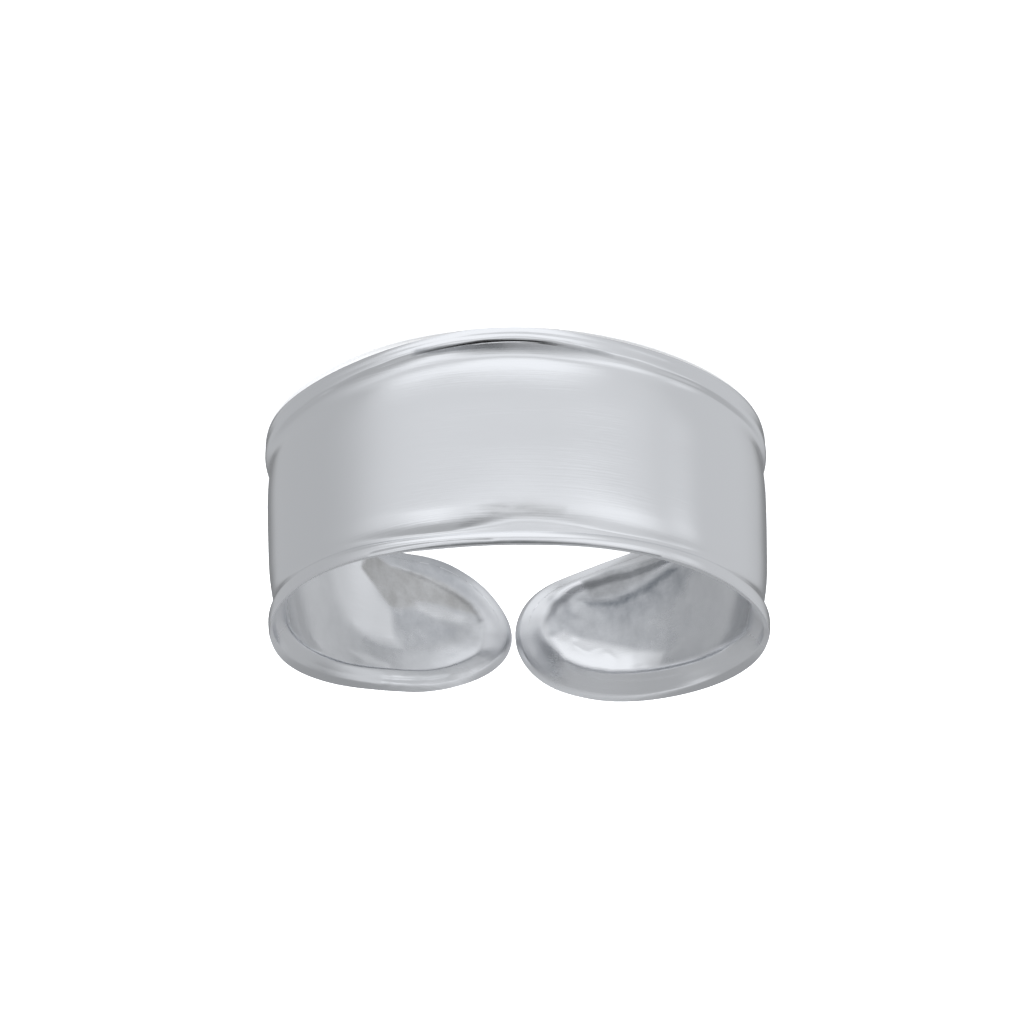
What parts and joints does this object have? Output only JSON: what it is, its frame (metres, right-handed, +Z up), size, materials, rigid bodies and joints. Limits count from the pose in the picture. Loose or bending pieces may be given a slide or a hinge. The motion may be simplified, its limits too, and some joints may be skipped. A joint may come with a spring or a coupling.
{
  "type": "toe ring",
  "caption": "Open toe ring: a wide, domed silver band with a flared border, tapering to rounded ends that nearly meet.",
  "frame": {"origin": "on the surface it lies on, under the middle of its bounding box", "axes": "+Z up from the surface, close to the toe hole's axis; the crown of the band faces -Y, the two ends nearly meet at +Y, and the slimmer end comes round from +X"},
  "size_m": [0.0168, 0.0168, 0.0078],
  "materials": {
    "silver": "pressed sterling silver sheet, barrel polished to a soft bright shine"
  },
  "bodies": {
    "root": {"ring_band": "silver"}
  },
  "joints": []
}
